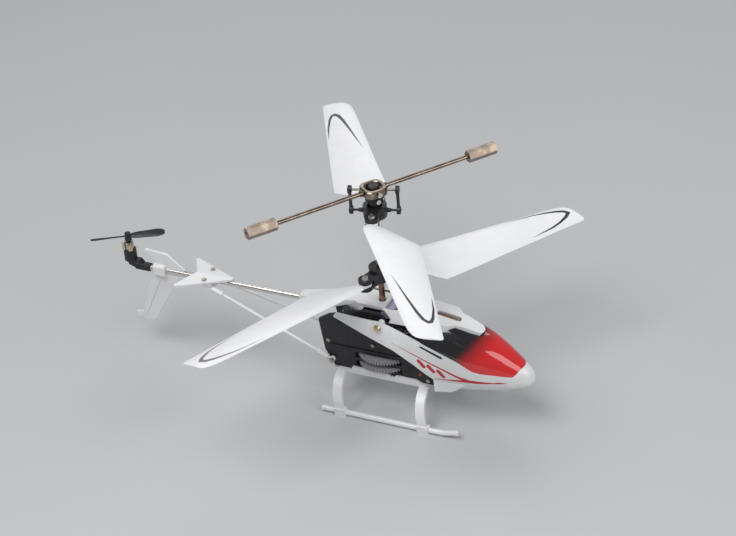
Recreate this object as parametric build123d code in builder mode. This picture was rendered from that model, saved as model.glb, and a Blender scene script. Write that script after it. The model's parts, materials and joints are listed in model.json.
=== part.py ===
from build123d import *
import os
from math import cos, pi, radians, sin, tan

# Palm-size coaxial remote control helicopter, in millimetres.
# +X points to the nose, +Y to the left side, +Z up.  The origin is on the ground, under the main mast.

os.makedirs("parts", exist_ok=True)

# ---- Driving dimensions ----
FIT = 0.05  # radial clearance of every running fit
WALL = 0.9  # moulded canopy wall
CANOPY_SCREW = (3.1, 43.9)
CANOPY_SCREW_Y = 12.85  # outer face of the side shell at its screw

# Main mast and gears
INNER_SHAFT_R = 0.75
OUTER_SHAFT_R = 1.3
GEAR_MODULE = 0.4
MAIN_TEETH = 58
PINION_TEETH = 9
GEAR_THICK = 1.6
LOW_GEAR_Z = 19.3
UP_GEAR_Z = 23.4
MESH_SLACK = 0.05
MOTOR_X = GEAR_MODULE * (MAIN_TEETH + PINION_TEETH) / 2 + MESH_SLACK
MOTOR_SHAFT_R = 0.5

# Rotors
LOW_ROTOR_Z = 61.9
UP_ROTOR_Z = 92.9
GRIP_R = 9.3  # mast to blade screw
GRIP_END_R = 2.9
GRIP_HALF_H = 2.5
BLADE_SCREW_R = 0.7
BLADE_TAB_T = 1.2
BLADE_SLOT = 1.6
BLADE_LENGTH = 84.5  # blade screw to tip
BLADE_T = 1.0
ROOT_PITCH = 16.6
TIP_PITCH = 8.6
LOW_GRIP_AZ = 73.0
UP_GRIP_AZ = 106.5
LOW_SWING = (-21.2, -8.1)  # how far each blade lies from radial, as parked
UP_SWING = (15.5, 17.1)

# Stabiliser bar
FLYBAR_Z = 102.5
FLYBAR_AZ = 52.8
FLYBAR_R = 0.9
FLYBAR_REACH = 56.9
WEIGHT_LENGTH = 12.9
WEIGHT_ACROSS = 4.6
RING_WIDE = 9.8
RING_HIGH = 3.5
RING_OPEN = 6.6
LINK_AZ = UP_GRIP_AZ - 90
LINK_R = 9.7
BALL_R = 1.1
EYE_R = 1.75
EYE_HOLE_R = 1.4

# Frame
PLATE_OUT = 8.5
PLATE_T = 1.5
PLATE_IN = PLATE_OUT - PLATE_T
BELLY_Z = 16.5

# Tail
BOOM_R = 1.25
BOOM_Z = 42.0
BOOM_FRONT = -26.0
BOOM_REAR = -111.0
TAIL_X = -120.5
TAIL_ROTOR_Z = 56.7
TAIL_ROTOR_R = 16.1
TAIL_ROTOR_AZ = 30.4

# Landing gear
TRACK = 19.5  # centre line to each skid
SKID_R = 1.2
SKID_Z = 1.45
SKID_REAR = -23.0
SKID_FRONT = 39.5
FEET_X = (-14.1, 23.7)
LEG_RAKE = 3.0
LEG_WIDE = 4.0


def finish(piece, name):
    """Label one finished piece and write its STEP file."""
    piece.part.label = name
    export_step(piece.part, f"parts/{name}.step")


def polar(radius, azimuth, z=0.0):
    """A point at a radius and azimuth round the mast."""
    return (radius * cos(radians(azimuth)), radius * sin(radians(azimuth)), z)


def mast_plane(z, azimuth=0.0):
    """A level plane on the mast axis, its X turned to the azimuth."""
    return Plane.XY.offset(z).rotated((0, 0, azimuth))


def radial_plane(radius, azimuth, z):
    """An upright plane whose normal points outwards along the azimuth."""
    out = Vector(*polar(1, azimuth))
    return Plane(origin=polar(radius, azimuth, z), x_dir=(-out.Y, out.X, 0), z_dir=out)


def gear_profile(teeth, phase):
    """Spur gear outline with straight flanks; one tooth points along the phase angle."""
    pitch_r = GEAR_MODULE * teeth / 2
    tip_r = pitch_r + GEAR_MODULE
    root_r = pitch_r - 1.25 * GEAR_MODULE
    half_pitch_w = 0.215 * pi * GEAR_MODULE
    slope = tan(radians(20))
    tip_w = half_pitch_w - slope * GEAR_MODULE
    root_w = half_pitch_w + slope * 1.25 * GEAR_MODULE
    Circle(root_r)
    with PolarLocations(0, teeth, start_angle=phase):
        Polygon(
            (root_r - 0.2, -root_w),
            (tip_r, -tip_w),
            (tip_r, tip_w),
            (root_r - 0.2, root_w),
            align=None,
        )


# ---- Canopy form, shared by the shell and the windshield ----
# Each station: distance along X, half width, lowest and highest point of the cross-section.
CANOPY_STATIONS = (
    (-18.0, 12.4, 15.0, 60.0),
    (0.0, 13.4, 15.0, 58.0),
    (12.0, 13.6, 15.0, 54.0),
    (22.0, 13.6, 15.2, 50.5),
    (32.0, 13.3, 15.6, 47.0),
    (40.0, 12.7, 16.2, 43.8),
    (47.0, 11.2, 17.0, 40.8),
    (53.0, 9.2, 17.8, 37.2),
    (58.5, 6.9, 18.8, 33.2),
    (62.5, 4.9, 19.8, 30.0),
    (65.2, 3.0, 21.0, 27.4),
    (66.7, 1.2, 22.6, 25.2),
)


def canopy_body(inset):
    """The closed canopy form, drawn in by the inset all round."""
    with BuildPart() as body:
        for x, half, low, high in CANOPY_STATIONS:
            half, low, high = max(half - inset, 0.4), low + inset, high - inset
            tall = high - low
            nose_shift = inset if x > 60 else 0
            with BuildSketch(Plane.YZ.offset(x - nose_shift)):
                with BuildLine():
                    Spline(
                        (0, low),
                        (0.62 * half, low + 0.05 * tall),
                        (0.93 * half, low + 0.22 * tall),
                        (half, low + 0.45 * tall),
                        (0.90 * half, low + 0.72 * tall),
                        (0.54 * half, low + 0.93 * tall),
                        (0, high),
                        tangents=((1, 0), (-1, 0)),
                    )
                    mirror(about=Plane.YZ)
                make_face()
        loft(ruled=True)
    return body.part


HOOD_LOW_Z = 41.9


def hood_plan(margin):
    """The hood's outline seen from above, widened by the margin."""
    with BuildSketch() as plan:
        with BuildLine():
            outline = Polyline(
                (43.6, 2.8 + margin),
                (34.2, 4.6 + margin),
                (30.4 + margin, 8.2 + margin),
                (5.0, 8.2 + margin),
                (3.0 - margin, 7.6),
                (3.0 - margin, -7.6),
                (5.0, -8.2 - margin),
                (30.4 + margin, -8.2 - margin),
                (34.2, -4.6 - margin),
                (43.6, -2.8 - margin),
            )
            ThreePointArc(outline @ 1, (45.3 + margin, 0), outline @ 0)
        make_face()
    return plan.sketch


# The seam between side shell and windshield, seen from the side.
SEAM = (
    (30.8, 36.6),
    (37.2, 34.1),
    (40.9, 32.0),
    (43.6, 30.2),
    (47.0, 29.2),
    (52.0, 28.5),
    (59.3, 27.0),
    (62.6, 30.5),
)
FAR_X = 80.0
FAR_Z = 80.0
canopy_outer = canopy_body(0.0)
canopy_inner = canopy_body(WALL)

# ---- Canopy ----
with BuildPart() as canopy_shell:
    add(canopy_outer)
    add(canopy_inner, mode=Mode.SUBTRACT)
    # keep what lies under the seam and above the raked lower edge
    with BuildSketch(Plane.XZ):
        with BuildLine():
            Polyline((-17.5, 44.2), (-16.9, 46.2), (4.0, 46.1), (21.0, 40.2), *SEAM, (FAR_X, 48.0),
                     (FAR_X, 0.0), (26.5, 0.0), (26.5, 22.9), (18.7, 28.8), (9.6, 34.2), (0.9, 37.5),
                     (-17.5, 44.2))
        make_face()
    extrude(amount=30, both=True, mode=Mode.INTERSECT)
    # slot through each side wall, under the top edge
    with BuildSketch(Plane.XZ):
        with Locations(Location((26.3, 38.0), -22)):
            SlotOverall(11.0, 1.1)
    extrude(amount=30, both=True, mode=Mode.SUBTRACT)
    # holes for the two canopy screws
    with BuildSketch(Plane.XZ):
        with Locations(CANOPY_SCREW):
            Circle(0.8)
    extrude(amount=30, both=True, mode=Mode.SUBTRACT)
    # skirt fin under each side
    for side in (-1, 1):
        with BuildSketch(Plane.XZ.offset(-side * 11.9)):
            Polygon((26.5, 23.0), (39.7, 22.6), (33.9, 17.9), (26.5, 16.6), align=None)
        extrude(amount=0.5, both=True)
    # chin under the nose
    with BuildSketch(Plane.XZ):
        Polygon((46.0, 19.0), (47.0, 17.4), (53.6, 14.6), (55.6, 15.2), (57.6, 19.2), align=None)
    extrude(amount=2.6, both=True)
    with BuildSketch(Plane.XY.offset(12.0)):
        with Locations((57.6, 0)):
            Circle(1.15)
    extrude(amount=8.5, mode=Mode.SUBTRACT)
finish(canopy_shell, "canopy_shell")

with BuildPart() as windshield:
    add(canopy_outer)
    add(canopy_inner, mode=Mode.SUBTRACT)
    with BuildSketch(Plane.XZ):
        with BuildLine():
            Polyline((22.0, 40.1), *SEAM, (FAR_X, 48.0), (FAR_X, FAR_Z), (22.0, FAR_Z), (22.0, 40.1))
        make_face()
    extrude(amount=30, both=True, mode=Mode.INTERSECT)
    # the top is open under the hood
    with BuildSketch(Plane.XY.offset(HOOD_LOW_Z)):
        add(hood_plan(0.1))
    extrude(amount=30, mode=Mode.SUBTRACT)
finish(windshield, "windshield")

# Hood: white spine piece on top, open to the rear round the mast, with a sunk intake slot
HOOD_TOP = ((3.0, 49.4), (14.0, 49.2), (20.0, 48.9), (26.0, 47.9), (32.0, 46.9), (38.0, 45.6), (45.4, 43.0))
with BuildPart() as hood:
    with BuildSketch(Plane.XZ):
        with BuildLine():
            Spline(*HOOD_TOP)
            Polyline(HOOD_TOP[-1], (44.0, 42.2), (36.0, 44.2), (30.4, 44.2), (6.0, 43.8), (6.8, 45.6),
                     HOOD_TOP[0])
        make_face()
    extrude(amount=8.4, both=True)
    with BuildSketch(Plane.XY.offset(40)):
        add(hood_plan(0.0))
    extrude(amount=12, mode=Mode.INTERSECT)
    # slanted cheeks
    for side in (-1, 1):
        with BuildSketch(Plane.YZ.offset(2.0)):
            Polygon((side * 6.4, 50.5), (side * 9.0, 50.5), (side * 9.0, 41.5), (side * 8.25, 43.8),
                    align=None)
        extrude(amount=32, mode=Mode.SUBTRACT)
    # hollow underside
    with BuildSketch(Plane.XZ):
        with BuildLine():
            Spline((2.0, 48.4), (14.0, 48.2), (20.0, 47.9), (26.0, 46.9), (31.0, 45.9))
            Polyline((31.0, 45.9), (31.0, 40.0), (2.0, 40.0), (2.0, 48.4))
        make_face()
    extrude(amount=5.6, both=True, mode=Mode.SUBTRACT)
    # mast opening
    with BuildSketch(Plane.XY.offset(40)):
        with BuildLine():
            ThreePointArc((2.5, -5.2), (12.5, 0), (2.5, 5.2))
            Line((2.5, 5.2), (2.5, -5.2))
        make_face()
    extrude(amount=12, mode=Mode.SUBTRACT)
    # intake slot
    with BuildSketch(Plane.XY.offset(40)):
        with Locations((29.8, 0)):
            SlotOverall(11.0, 3.2)
    extrude(amount=12, mode=Mode.SUBTRACT)
finish(hood, "hood")

with BuildPart() as intake_tube:
    with BuildSketch(Plane(origin=(25.2, 0, 46.3), x_dir=(0, 1, 0), z_dir=(0.99, 0, -0.14))):
        Circle(1.3)
        Circle(0.8, mode=Mode.SUBTRACT)
    extrude(amount=9.4)
finish(intake_tube, "intake_tube")

with BuildPart() as canopy_posts:
    for side in (-1, 1):
        with BuildSketch(Plane.XZ.offset(-side * PLATE_OUT)):
            with Locations(CANOPY_SCREW):
                Circle(1.4)
        extrude(amount=-side * (CANOPY_SCREW_Y - WALL - PLATE_OUT - 1.0))
finish(canopy_posts, "canopy_posts")

with BuildPart() as canopy_screws:
    for side in (-1, 1):
        with BuildSketch(Plane.XZ.offset(-side * (CANOPY_SCREW_Y - WALL - 0.1))):
            with Locations(CANOPY_SCREW):
                Circle(0.75)
        extrude(amount=-side * 1.8)
        with BuildSketch(Plane.XZ.offset(-side * (CANOPY_SCREW_Y + 0.6))):
            with Locations(CANOPY_SCREW):
                Circle(1.6)
        extrude(amount=-side * 0.9, taper=25)
finish(canopy_screws, "canopy_screws")

with BuildPart() as nose_led:
    with BuildSketch(Plane.XY.offset(17.0)):
        with Locations((57.6, 0)):
            Circle(1.1)
    extrude(amount=4.0)
    with Locations((57.6, 0, 17.0)):
        Sphere(1.1)
finish(nose_led, "nose_led")


# ---- Side plates, gearbox and motors ----
def frame_plate(side):
    """One moulded side plate; the gears reach out through its two slots."""
    with BuildPart() as plate:
        with BuildSketch(Plane.XZ.offset(-side * PLATE_IN)):
            with BuildLine():
                Polyline((-20.5, BELLY_Z), (25.0, BELLY_Z), (27.5, 19.5), (28.5, 30.0), (22.0, 37.0),
                         (9.4, 42.8), (5.2, 43.2), (1.7, 47.4), (-5.0, 47.4), (-22.0, 42.0),
                         (-26.5, 39.0), (-24.6, 24.0), (-20.5, BELLY_Z))
            make_face()
            # gear slots
            for bottom in (LOW_GEAR_Z, UP_GEAR_Z):
                with Locations((0, bottom + GEAR_THICK / 2)):
                    Rectangle(21.0, GEAR_THICK + 1.0, mode=Mode.SUBTRACT)
            # lightening windows behind the side shell
            with Locations((18.0, 33.0)):
                Circle(3.0, mode=Mode.SUBTRACT)
            # strut and spacer screw holes
            with Locations((-21.0, 20.4), (-22.6, 29.2), (-2.0, 30.8), (-1.6, 45.4), (22.4, 18.4)):
                Circle(0.5, mode=Mode.SUBTRACT)
            if side > 0:
                with Locations((18.6, 22.4)):
                    Circle(1.7, mode=Mode.SUBTRACT)
                with Locations((-17.0, 35.0)):
                    Rectangle(4.6, 2.0, mode=Mode.SUBTRACT)
            else:
                with Locations((18.9, 20.6)):
                    Circle(0.8, mode=Mode.SUBTRACT)
        extrude(amount=-side * PLATE_T)
        # stiffening rim along the lower edge and a rib over the gears
        with BuildSketch(Plane.XZ.offset(-side * PLATE_OUT)):
            with Locations((-5.0, 27.2)):
                Rectangle(34.0, 0.9)
            with Locations(Location((-9.0, 41.2), 18)):
                Rectangle(18.0, 0.8)
        extrude(amount=-side * 0.4)
    return plate


for side, name in ((-1, "right_frame_plate"), (1, "left_frame_plate")):
    finish(frame_plate(side), name)

with BuildPart() as frame_screws:
    for side in (-1, 1):
        for x, z, head_r in ((-22.6, 29.2, 0.9), (-2.0, 30.8, 0.9), (-1.6, 45.4, 1.1), (22.4, 18.4, 0.9)):
            with BuildSketch(Plane.XZ.offset(-side * PLATE_OUT)):
                with Locations((x, z)):
                    Circle(head_r)
            extrude(amount=-side * 0.55)
            with BuildSketch(Plane.XZ.offset(-side * (PLATE_OUT - 1.4))):
                with Locations((x, z)):
                    Circle(0.5)
            extrude(amount=-side * 1.5)
finish(frame_screws, "frame_screws")

with BuildPart() as lower_bearing_plate:
    with BuildSketch(Plane.XY.offset(BELLY_Z)):
        Rectangle(26.0, 2 * PLATE_IN)
        Circle(2.0, mode=Mode.SUBTRACT)
    extrude(amount=1.5)
finish(lower_bearing_plate, "lower_bearing_plate")

with BuildPart() as motor_plate:
    with BuildSketch(Plane.XY.offset(27.0)):
        RectangleRounded(42.0, 2 * PLATE_IN, 2.0)
        with Locations((MOTOR_X, 0), (-MOTOR_X, 0)):
            Circle(1.9, mode=Mode.SUBTRACT)
        Circle(1.7, mode=Mode.SUBTRACT)
    extrude(amount=1.5)
finish(motor_plate, "motor_plate")

with BuildPart() as upper_bearing_block:
    with BuildSketch(Plane.XY.offset(43.2)):
        with Locations((-2.6, 0)):
            Rectangle(9.0, 2 * PLATE_IN)
        with Locations((3.0, 0)):
            RectangleRounded(8.0, 9.6, 1.0)
    extrude(amount=2.8)
    with BuildSketch(Plane.XY.offset(46.0)):
        with Locations((1.5, 0)):
            RectangleRounded(10.0, 8.6, 1.0)
    extrude(amount=1.2)
    with BuildSketch(Plane.XY.offset(43.2)):
        Circle(2.3)
    extrude(amount=4.0, mode=Mode.SUBTRACT)
finish(upper_bearing_block, "upper_bearing_block")

with BuildPart() as shaft_bearings:
    with BuildSketch(Plane.XY.offset(43.2)):
        Circle(2.3)
        Circle(OUTER_SHAFT_R + FIT, mode=Mode.SUBTRACT)
    extrude(amount=4.0)
    with BuildSketch(Plane.XY.offset(BELLY_Z)):
        Circle(2.0)
        Circle(INNER_SHAFT_R + FIT, mode=Mode.SUBTRACT)
    extrude(amount=1.5)
finish(shaft_bearings, "shaft_bearings")

for sign, name in ((1, "front_motor"), (-1, "rear_motor")):
    with BuildPart() as motor:
        with BuildSketch(Plane.XY.offset(28.5)):
            with Locations((sign * MOTOR_X, 0)):
                Circle(5.0)
                Rectangle(12.0, 8.4, mode=Mode.INTERSECT)
        extrude(amount=13.5)
        with BuildSketch(Plane.XY.offset(27.2)):
            with Locations((sign * MOTOR_X, 0)):
                Circle(1.8)
        extrude(amount=1.3)
        with BuildSketch(Plane.XY.offset(27.2)):
            with Locations((sign * MOTOR_X, 0)):
                Circle(MOTOR_SHAFT_R + FIT)
        extrude(amount=6.0, mode=Mode.SUBTRACT)
    finish(motor, name)

for sign, name, gear_z in ((1, "front_pinion", UP_GEAR_Z), (-1, "rear_pinion", LOW_GEAR_Z)):
    with BuildPart() as pinion:
        with BuildSketch(Plane.XY.offset(gear_z - 0.1)):
            with Locations((sign * MOTOR_X, 0)):
                Circle(MOTOR_SHAFT_R)
        extrude(amount=33.0 - gear_z)
        with BuildSketch(Plane(origin=(sign * MOTOR_X, 0, gear_z - 0.1))):
            gear_profile(PINION_TEETH, 180 if sign > 0 else 0)
        extrude(amount=GEAR_THICK + 0.2)
    finish(pinion, name)

# ---- Electrics ----
with BuildPart() as battery:
    with BuildSketch(Plane.XY.offset(19.5)):
        with Locations((38.5, 0)):
            RectangleRounded(19.0, 13.0, 2.0)
    extrude(amount=7.0)
    fillet(battery.faces().sort_by(Axis.Z)[-1].edges(), radius=1.5)
finish(battery, "battery")

with BuildPart() as circuit_board:
    with BuildSketch(Plane.XY.offset(28.0)):
        with Locations((37.5, 0)):
            Rectangle(16.0, 14.0)
    extrude(amount=1.0)
    with BuildSketch(Plane.XY.offset(29.0)):
        with Locations((34.0, 0)):
            Rectangle(5.0, 4.0)
        with Locations((41.0, 4.0), (41.0, 0.0), (41.0, -4.0)):
            Rectangle(2.6, 1.8)
    extrude(amount=1.2)
finish(circuit_board, "circuit_board")

with BuildPart() as charge_socket:
    with BuildSketch(Plane.XZ.offset(-PLATE_OUT)):
        with Locations((18.6, 22.4)):
            Circle(1.6)
    extrude(amount=5.0)
    with BuildSketch(Plane.XZ.offset(-PLATE_IN + 0.05)):
        with Locations((18.6, 22.4)):
            Rectangle(5.0, 5.0)
    extrude(amount=4.0)
    with BuildSketch(Plane.XZ.offset(-PLATE_OUT)):
        with Locations((18.6, 22.4)):
            Circle(1.0)
    extrude(amount=4.5, mode=Mode.SUBTRACT)
finish(charge_socket, "charge_socket")

with BuildPart() as indicator_led:
    with BuildSketch(Plane.XZ.offset(PLATE_OUT + 0.2)):
        with Locations((18.9, 20.6)):
            Circle(0.75)
    extrude(amount=-2.5)
finish(indicator_led, "indicator_led")

SWITCH_X = -18.0
SWITCH_Z = 35.0
with BuildPart() as switch_housing:
    with BuildSketch(Plane.XZ.offset(-PLATE_IN)):
        with Locations((SWITCH_X + 1.0, SWITCH_Z)):
            Rectangle(7.0, 3.6)
    extrude(amount=1.8)
    with BuildSketch(Plane.XZ.offset(-PLATE_IN)):
        with Locations((SWITCH_X + 1.0, SWITCH_Z)):
            Rectangle(4.4, 1.6)
    extrude(amount=0.9, mode=Mode.SUBTRACT)
finish(switch_housing, "switch_housing")

with BuildPart() as switch_slider:
    with BuildSketch(Plane.XZ.offset(-PLATE_IN + 0.7)):
        with Locations((SWITCH_X, SWITCH_Z)):
            Rectangle(1.6, 1.3)
    extrude(amount=-2.9)
finish(switch_slider, "switch_slider")

# ---- Top cover and tail boom ----
with BuildPart() as top_cover:
    with BuildSketch(Plane.XZ):
        Polygon((3.0, 49.0), (-13.0, 49.0), (-31.0, 45.6), (-38.0, 44.4), (-38.0, 39.8), (-30.0, 39.8),
                (-21.5, 43.2), (-12.0, 47.6), (3.0, 47.6), align=None)
    extrude(amount=5.5, both=True)
    with BuildSketch(Plane.XY.offset(38)):
        with BuildLine():
            Polyline((3.0, -5.5), (-9.0, -5.5), (-10.0, -4.6), (-13.0, -5.0), (-31.0, -2.9), (-38.0, -2.4),
                     (-38.0, 2.4), (-31.0, 2.9), (-13.0, 5.0), (-10.0, 4.6), (-9.0, 5.5), (3.0, 5.5),
                     (3.0, -5.5))
        make_face()
    extrude(amount=12, mode=Mode.INTERSECT)
    # running hole for the mast
    with BuildSketch(Plane.XY.offset(46)):
        Circle(OUTER_SHAFT_R + 0.35)
    extrude(amount=4, mode=Mode.SUBTRACT)
    # boom socket
    with BuildSketch(Plane.YZ.offset(-38.5)):
        with Locations((0, BOOM_Z)):
            Circle(BOOM_R)
    extrude(amount=-BOOM_REAR, mode=Mode.SUBTRACT)
    with BuildSketch(Plane.YZ.offset(-31.0)):
        with Locations((0, BOOM_Z)):
            Circle(BOOM_R + 1.1)
            Circle(BOOM_R, mode=Mode.SUBTRACT)
    extrude(amount=-7.0)
finish(top_cover, "top_cover")

with BuildPart() as boom_tube:
    with BuildSketch(Plane.YZ.offset(BOOM_REAR)):
        with Locations((0, BOOM_Z)):
            Circle(BOOM_R)
            Circle(BOOM_R - 0.35, mode=Mode.SUBTRACT)
    extrude(amount=BOOM_FRONT - BOOM_REAR)
finish(boom_tube, "boom_tube")

# Arrowhead stabiliser: two halves that droop from a centre ridge
STAB_FRONT = -70.5
STAB_NOTCH = -87.9
STAB_TIP = (-93.6, 11.1)
STAB_Z = 43.6
STAB_T = 0.9
STAB_FALL = 0.105  # how fast each half drops sideways
STAB_SCREW = (-82.3, 4.2)
with BuildPart() as stabiliser:
    with BuildSketch(Plane.XY.offset(40)):
        with BuildLine():
            right = Polyline((STAB_FRONT, -0.6), (STAB_TIP[0] + 1.2, -STAB_TIP[1]))
            right_tip = ThreePointArc(
                right @ 1, (STAB_TIP[0] - 0.1, 0.3 - STAB_TIP[1]), (STAB_TIP[0] + 0.2, 1.6 - STAB_TIP[1])
            )
            notch = Polyline(right_tip @ 1, (STAB_NOTCH, 0), (STAB_TIP[0] + 0.2, STAB_TIP[1] - 1.6))
            left_tip = ThreePointArc(
                notch @ 1, (STAB_TIP[0] - 0.1, STAB_TIP[1] - 0.3), (STAB_TIP[0] + 1.2, STAB_TIP[1])
            )
            Polyline(left_tip @ 1, (STAB_FRONT, 0.6), (STAB_FRONT, -0.6))
        make_face()
    extrude(amount=8)
    with BuildSketch(Plane.YZ.offset(-100)):
        Polygon(
            (0, STAB_Z + STAB_T),
            (14, STAB_Z + STAB_T - 14 * STAB_FALL),
            (14, STAB_Z - 14 * STAB_FALL),
            (0, STAB_Z),
            (-14, STAB_Z - 14 * STAB_FALL),
            (-14, STAB_Z + STAB_T - 14 * STAB_FALL),
            align=None,
        )
    extrude(amount=40, mode=Mode.INTERSECT)
    with BuildSketch(Plane.XY.offset(40)):
        with Locations((STAB_SCREW[0], STAB_SCREW[1]), (STAB_SCREW[0], -STAB_SCREW[1])):
            Circle(0.5)
    extrude(amount=8, mode=Mode.SUBTRACT)
    # saddle that rests on the boom
    with BuildSketch(Plane.XZ):
        Polygon((-86.5, 42.3), (-73.0, 42.3), (-73.0, 43.9), (-86.5, 43.9), align=None)
    extrude(amount=1.6, both=True)
    with BuildSketch(Plane.YZ.offset(-90)):
        with Locations((0, BOOM_Z)):
            Circle(BOOM_R)
    extrude(amount=20, mode=Mode.SUBTRACT)
finish(stabiliser, "stabiliser")

with BuildPart() as stabiliser_clamp:
    with BuildSketch(Plane.YZ.offset(-84.5)):
        with BuildLine():
            Polyline((-5.2, 42.9), (-5.2, 41.9), (-2.4, 41.4), (-2.4, 39.4), (2.4, 39.4),
                     (2.4, 41.4), (5.2, 41.9),
                     (5.2, 42.9), (1.7, 42.2), (-1.7, 42.2), (-5.2, 42.9))
        make_face()
        with Locations((0, BOOM_Z)):
            Circle(BOOM_R, mode=Mode.SUBTRACT)
    extrude(amount=5.5)
finish(stabiliser_clamp, "stabiliser_clamp")

# Struts between the frame and the stabiliser clamp
STRUT_REAR = (-79.7, 3.6, 40.2)
STRUT_FRONT = (-21.0, 9.9, 20.4)
for side, name in ((-1, "right_strut"), (1, "left_strut")):
    rear = Vector(STRUT_REAR[0], side * STRUT_REAR[1], STRUT_REAR[2])
    front = Vector(STRUT_FRONT[0], side * STRUT_FRONT[1], STRUT_FRONT[2])
    along = (front - rear).normalized()
    span = (front - rear).length
    with BuildPart() as strut:
        with BuildSketch(Plane(origin=rear, z_dir=along)):
            Circle(0.65)
        extrude(amount=span - 1.0)
        for start, length in ((0.0, 6.0), (span - 7.5, 5.5)):
            with BuildSketch(Plane(origin=rear + along * start, z_dir=along)):
                Circle(1.15)
            extrude(amount=length)
        with BuildSketch(Plane.XZ.offset(-side * (PLATE_OUT + 0.5))):
            with Locations((front.X, front.Z)):
                Circle(1.2)
        extrude(amount=-side * 1.6)
        # pad that meets the clamp
        with BuildSketch(Plane.XZ.offset(-side * 2.4)):
            with Locations((rear.X, rear.Z)):
                Circle(0.8)
        extrude(amount=-side * 1.4)
        with BuildSketch(Plane.XZ.offset(-side * PLATE_OUT)):
            with Locations((front.X, front.Z)):
                Circle(0.5)
        extrude(amount=-side * 4.0, mode=Mode.SUBTRACT)
    finish(strut, name)

with BuildPart() as strut_screws:
    for side in (-1, 1):
        seat_z = STAB_Z + STAB_T + 0.12 - STAB_SCREW[1] * STAB_FALL
        with BuildSketch(Plane.XY.offset(seat_z)):
            with Locations((STAB_SCREW[0], side * STAB_SCREW[1])):
                Circle(1.0)
        extrude(amount=0.5)
        with BuildSketch(Plane.XY.offset(seat_z)):
            with Locations((STAB_SCREW[0], side * STAB_SCREW[1])):
                Circle(0.5)
        extrude(amount=-1.3)
    for side in (-1, 1):
        with BuildSketch(Plane.XZ.offset(-side * (PLATE_OUT + 2.1))):
            with Locations((STRUT_FRONT[0], STRUT_FRONT[2])):
                Circle(1.0)
        extrude(amount=-side * 0.6)
        with BuildSketch(Plane.XZ.offset(-side * (PLATE_IN + 0.1))):
            with Locations((STRUT_FRONT[0], STRUT_FRONT[2])):
                Circle(0.5)
        extrude(amount=-side * 3.6)
finish(strut_screws, "strut_screws")

# Tail fin with its clamp round the boom
with BuildPart() as tail_fin:
    with BuildSketch(Plane.XZ):
        with BuildLine():
            Polyline((-94.0, 43.8), (-102.1, 50.6), (-112.0, 51.4))
            ThreePointArc((-112.0, 51.4), (-113.2, 50.8), (-112.4, 49.9))
            Polyline((-112.4, 49.9), (-109.6, 49.0), (-107.2, 44.2), (-107.2, 40.4),
                     (-110.7, 39.4), (-117.9, 17.6),
                     (-121.2, 17.0))
            ThreePointArc((-121.2, 17.0), (-122.2, 15.9), (-121.0, 15.2))
            Line((-121.0, 15.2), (-114.2, 14.3))
            ThreePointArc((-114.2, 14.3), (-112.6, 14.6), (-111.5, 15.8))
            Polyline((-111.5, 15.8), (-97.4, 39.2), (-94.0, 43.8))
        make_face()
    extrude(amount=0.6, both=True)
    # thicker spine down the lower blade
    with BuildSketch(Plane.XZ):
        Polygon((-105.2, 40.0), (-108.2, 40.0), (-117.6, 16.2), (-116.6, 16.0), align=None)
    extrude(amount=0.85, both=True)
    with BuildSketch(Plane.YZ.offset(-108.6)):
        with Locations((0, BOOM_Z)):
            RectangleRounded(4.6, 5.6, 1.2)
    extrude(amount=5.4)
    with BuildSketch(Plane.YZ.offset(-112.0)):
        with Locations((0, BOOM_Z)):
            Circle(BOOM_R)
    extrude(amount=25.0, mode=Mode.SUBTRACT)
finish(tail_fin, "tail_fin")

TAIL_MOTOR_R = 2.0
TAIL_MOTOR_Z = 45.6
TAIL_MOTOR_H = 8.2
with BuildPart() as tail_motor_mount:
    # sleeve on the boom end and an arm to the motor cup
    with BuildSketch(Plane.YZ.offset(BOOM_REAR)):
        with Locations((0, BOOM_Z)):
            RectangleRounded(3.2, 3.2, 0.8)
    extrude(amount=-7.0)
    with BuildSketch(Plane.YZ.offset(BOOM_REAR)):
        with Locations((0, BOOM_Z)):
            Circle(BOOM_R - 0.35)
    extrude(amount=5.0)
    with BuildSketch(Plane.XZ):
        Polygon((-117.0, 40.6), (-121.4, 42.4), (-121.4, 45.4), (-115.6, 45.4), (-114.0, 43.0), align=None)
    extrude(amount=1.2, both=True)
    with BuildSketch(Plane.XY.offset(44.6)):
        with Locations((TAIL_X, 0)):
            Circle(TAIL_MOTOR_R + 0.8)
    extrude(amount=5.2)
    with BuildSketch(Plane.XY.offset(TAIL_MOTOR_Z)):
        with Locations((TAIL_X, 0)):
            Circle(TAIL_MOTOR_R)
    extrude(amount=6.0, mode=Mode.SUBTRACT)
finish(tail_motor_mount, "tail_motor_mount")

with BuildPart() as tail_motor:
    with BuildSketch(Plane.XY.offset(TAIL_MOTOR_Z)):
        with Locations((TAIL_X, 0)):
            Circle(TAIL_MOTOR_R)
    extrude(amount=TAIL_MOTOR_H)
    with BuildSketch(Plane.XY.offset(TAIL_MOTOR_Z + 4.0)):
        with Locations((TAIL_X, 0)):
            Circle(0.4 + FIT)
    extrude(amount=5.0, mode=Mode.SUBTRACT)
finish(tail_motor, "tail_motor")

with BuildPart() as tail_motor_terminals:
    for azimuth in (-135, -50):
        spot = Vector(TAIL_X, 0, 0) + Vector(*polar(TAIL_MOTOR_R + 0.5, azimuth))
        with BuildSketch(Plane.XY.offset(50.2)):
            with Locations(Location((spot.X, spot.Y), azimuth)):
                RectangleRounded(1.0, 1.8, 0.3)
        extrude(amount=3.2)
finish(tail_motor_terminals, "tail_motor_terminals")

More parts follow.
